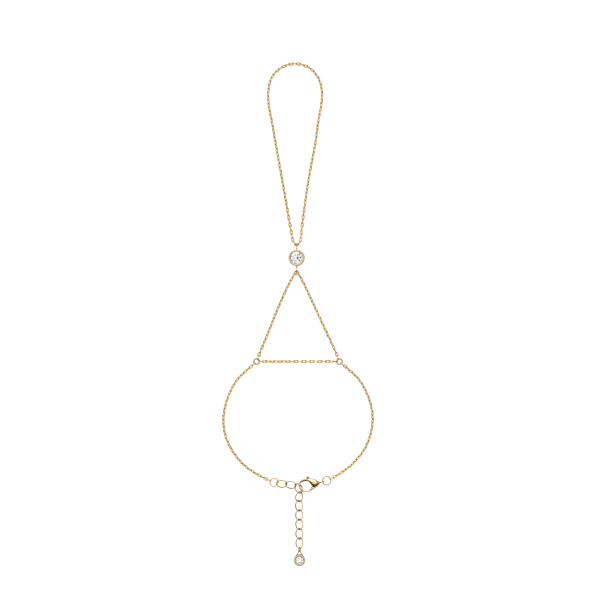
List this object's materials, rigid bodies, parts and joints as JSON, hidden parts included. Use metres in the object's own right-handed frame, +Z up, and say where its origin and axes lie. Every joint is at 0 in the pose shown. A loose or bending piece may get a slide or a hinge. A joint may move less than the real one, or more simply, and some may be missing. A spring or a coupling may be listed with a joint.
{
  "type": "hand chain bracelet",
  "caption": "Hand chain bracelet laid flat: a finger loop and a wrist loop of fine chain joined by a V below a round bezel-set stone, with lobster clasp, extender and a small drop.",
  "frame": {"origin": "middle of the bracelet's length and width as it lies, on the surface it rests on", "axes": "+X across the hand to the right seen from above, +Y from the wrist to the finger loop, +Z up from the surface"},
  "size_m": [0.0532, 0.1763, 0.0029],
  "materials": {
    "gold_metal": "polished gold plate over brass",
    "clear_stone": "clear faceted cubic zirconia"
  },
  "bodies": {
    "bracelet": {"finger_chain": "gold_metal", "bezel_setting": "gold_metal", "bezel_stone": "clear_stone", "hand_chain": "gold_metal", "cross_chain": "gold_metal", "junction_ring_left": "gold_metal", "junction_ring_right": "gold_metal", "wrist_chain_left": "gold_metal", "wrist_chain_right": "gold_metal", "clasp_ring": "gold_metal", "clasp_body": "gold_metal", "clasp_rivet": "gold_metal", "extender_ring": "gold_metal", "extender_link_1": "gold_metal", "extender_link_2": "gold_metal", "extender_link_3": "gold_metal", "extender_link_4": "gold_metal", "extender_link_5": "gold_metal", "extender_link_6": "gold_metal", "extender_link_7": "gold_metal", "extender_link_8": "gold_metal", "extender_link_9": "gold_metal", "drop_ring": "gold_metal", "drop_setting": "gold_metal", "drop_stone": "clear_stone"},
    "lever": {"clasp_lever": "gold_metal"}
  },
  "joints": [
    {"name": "lever_hinge", "type": "hinge", "parent": "bracelet", "child": "lever", "pos_m": [0.00518, -0.05885, 0.00115], "axis": [0, 0, -1], "range_deg": [0, 20], "stiffness_Nm_per_rad": 0.0005, "springref_deg": -34.38}
  ]
}
